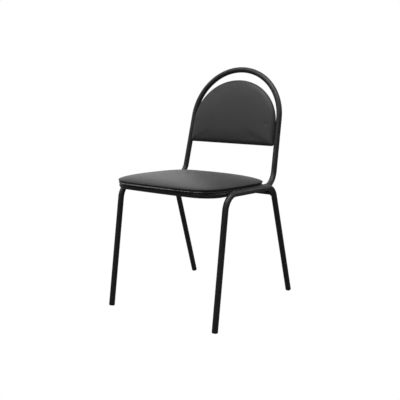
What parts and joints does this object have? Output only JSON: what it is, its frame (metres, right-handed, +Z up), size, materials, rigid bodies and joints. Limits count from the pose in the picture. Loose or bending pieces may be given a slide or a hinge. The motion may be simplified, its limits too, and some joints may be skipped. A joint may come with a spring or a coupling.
{
  "type": "visitor chair",
  "caption": "Visitor chair with a bent steel tube frame, an upholstered seat, and a D-shaped back pad held inside a tubular arch, for sitting at a desk or in a waiting room.",
  "frame": {"origin": "on the floor, under the middle of the chair's box", "axes": "+Z up, -Y the way the sitter faces, +X to the right as seen from in front of the chair"},
  "size_m": [0.4516, 0.5268, 0.8199],
  "materials": {
    "frame_paint": "semi-matt black powder coat",
    "foot_plastic": "moulded black plastic",
    "fastener_zinc": "zinc plated",
    "plywood": "raw birch plywood",
    "foam": "open-cell foam",
    "leatherette": "fine-grained black leatherette, satin"
  },
  "bodies": {
    "root": {"back_seat_hoop": "frame_paint", "leg_tube_left": "frame_paint", "leg_tube_right": "frame_paint", "rear_cross_tube": "frame_paint", "seat_lug_front_left": "frame_paint", "seat_lug_front_right": "frame_paint", "seat_lug_rear_left": "frame_paint", "seat_lug_rear_right": "frame_paint", "back_lug_left": "frame_paint", "back_lug_right": "frame_paint", "foot_plug_front_left": "foot_plastic", "foot_plug_front_right": "foot_plastic", "foot_plug_rear_left": "foot_plastic", "foot_plug_rear_right": "foot_plastic", "seat_board": "plywood", "seat_foam": "foam", "seat_cover": "leatherette", "seat_tee_nut_front_left": "fastener_zinc", "seat_tee_nut_front_right": "fastener_zinc", "seat_tee_nut_rear_left": "fastener_zinc", "seat_tee_nut_rear_right": "fastener_zinc", "seat_screw_front_left": "fastener_zinc", "seat_screw_front_right": "fastener_zinc", "seat_screw_rear_left": "fastener_zinc", "seat_screw_rear_right": "fastener_zinc", "back_board": "plywood", "back_foam": "foam", "back_front_cover": "leatherette", "back_rear_cover": "leatherette", "back_tee_nut_left": "fastener_zinc", "back_tee_nut_right": "fastener_zinc", "back_screw_left": "fastener_zinc", "back_screw_right": "fastener_zinc"}
  },
  "joints": []
}
